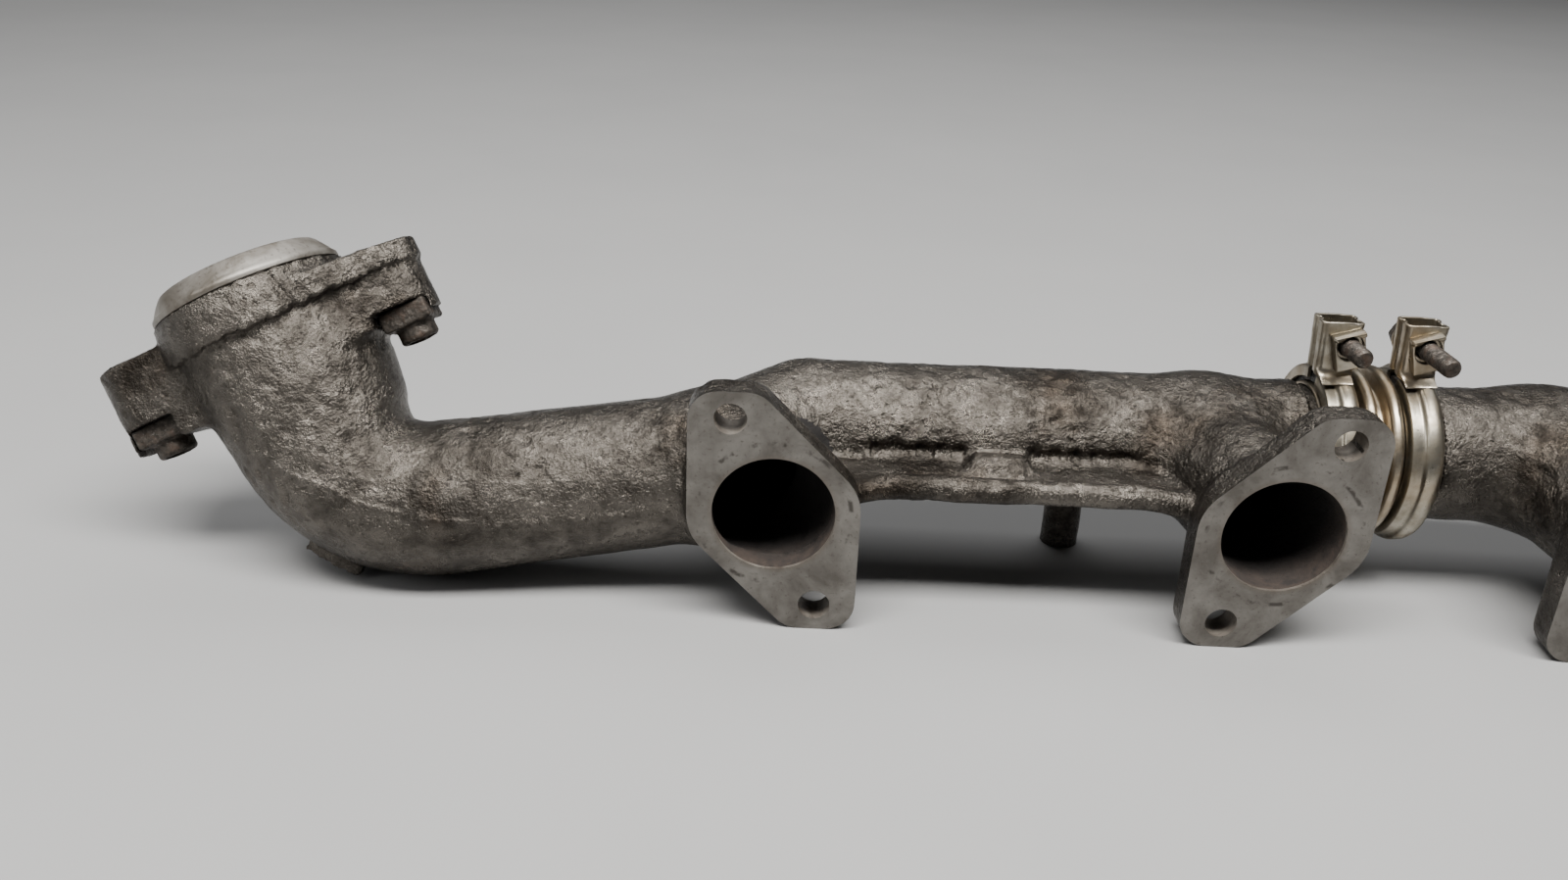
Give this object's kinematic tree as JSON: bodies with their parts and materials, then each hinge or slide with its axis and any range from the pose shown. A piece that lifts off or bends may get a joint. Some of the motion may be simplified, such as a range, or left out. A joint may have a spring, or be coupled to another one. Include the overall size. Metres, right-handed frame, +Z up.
{
  "type": "exhaust manifold",
  "caption": "Two-piece cast-iron exhaust manifold with head flanges on a log pipe, an angled outlet elbow with bolt ears, and a clamped bellows expansion joint.",
  "frame": {"origin": "centre of port 1 on the machined head face", "axes": "+X along the bank from the outlet end to the closed end, +Y away from the cylinder head, +Z up as the part stands on its flange feet"},
  "size_m": [0.6458, 0.0838, 0.1036],
  "materials": {
    "cast_iron": "rough blasted casting skin",
    "machined_iron": "smooth machined, lightly stained",
    "stainless_steel": "satin stainless, slightly heat tinted",
    "rusty_steel": "dark rusty steel",
    "seal_graphite": "dark mesh and graphite ring"
  },
  "bodies": {
    "front": {"outlet_collar": "cast_iron", "outlet_bend": "cast_iron", "outlet_pipe": "cast_iron", "port_1_branch": "cast_iron", "front_log_pipe": "cast_iron", "port_2_branch": "cast_iron", "slip_liner": "stainless_steel", "bellows": "stainless_steel", "front_seal_ring": "seal_graphite", "front_clamp_band": "stainless_steel", "front_nut_saddle": "stainless_steel", "front_head_saddle": "stainless_steel", "front_washer": "stainless_steel", "outlet_seat_ring": "machined_iron", "upper_outlet_nut": "rusty_steel", "lower_outlet_nut": "rusty_steel"},
    "rear": {"port_3_branch": "cast_iron", "rear_log_pipe": "cast_iron", "port_4_branch": "cast_iron", "rear_seal_ring": "seal_graphite", "rear_clamp_band": "stainless_steel", "rear_nut_saddle": "stainless_steel", "rear_head_saddle": "stainless_steel", "rear_washer": "stainless_steel"},
    "front_screw_body": {"front_screw": "rusty_steel"},
    "front_nut_plate_body": {"front_nut_plate": "stainless_steel"},
    "rear_screw_body": {"rear_screw": "rusty_steel"},
    "rear_nut_plate_body": {"rear_nut_plate": "stainless_steel"}
  },
  "joints": [
    {"name": "expansion_slide", "type": "slide", "parent": "front", "child": "rear", "axis": [1, 0, 0], "range_m": [-0.0015, 0.0015], "stiffness_N_per_m": 20000, "deforming": ["bellows"]},
    {"name": "front_screw_turn", "type": "hinge", "parent": "front", "child": "front_screw_body", "pos_m": [0.1737, 0.055, 0.0428], "axis": [-0.0523, 0.9986, 0], "range_deg": [0, 2160]},
    {"name": "front_nut_travel", "type": "slide", "parent": "front", "child": "front_nut_plate_body", "axis": [0.0523, -0.9986, 0], "range_m": [0, 0.006]},
    {"name": "rear_screw_turn", "type": "hinge", "parent": "rear", "child": "rear_screw_body", "pos_m": [0.1976, 0.055, 0.0428], "axis": [-0.0523, 0.9986, 0], "range_deg": [0, 2160]},
    {"name": "rear_nut_travel", "type": "slide", "parent": "rear", "child": "rear_nut_plate_body", "axis": [0.0523, -0.9986, 0], "range_m": [0, 0.006]}
  ],
  "couplings": [
    {"joint": "front_screw_turn", "follows": "front_nut_travel", "rad_per_m": 6283.1},
    {"joint": "rear_screw_turn", "follows": "rear_nut_travel", "rad_per_m": 6283.1}
  ]
}
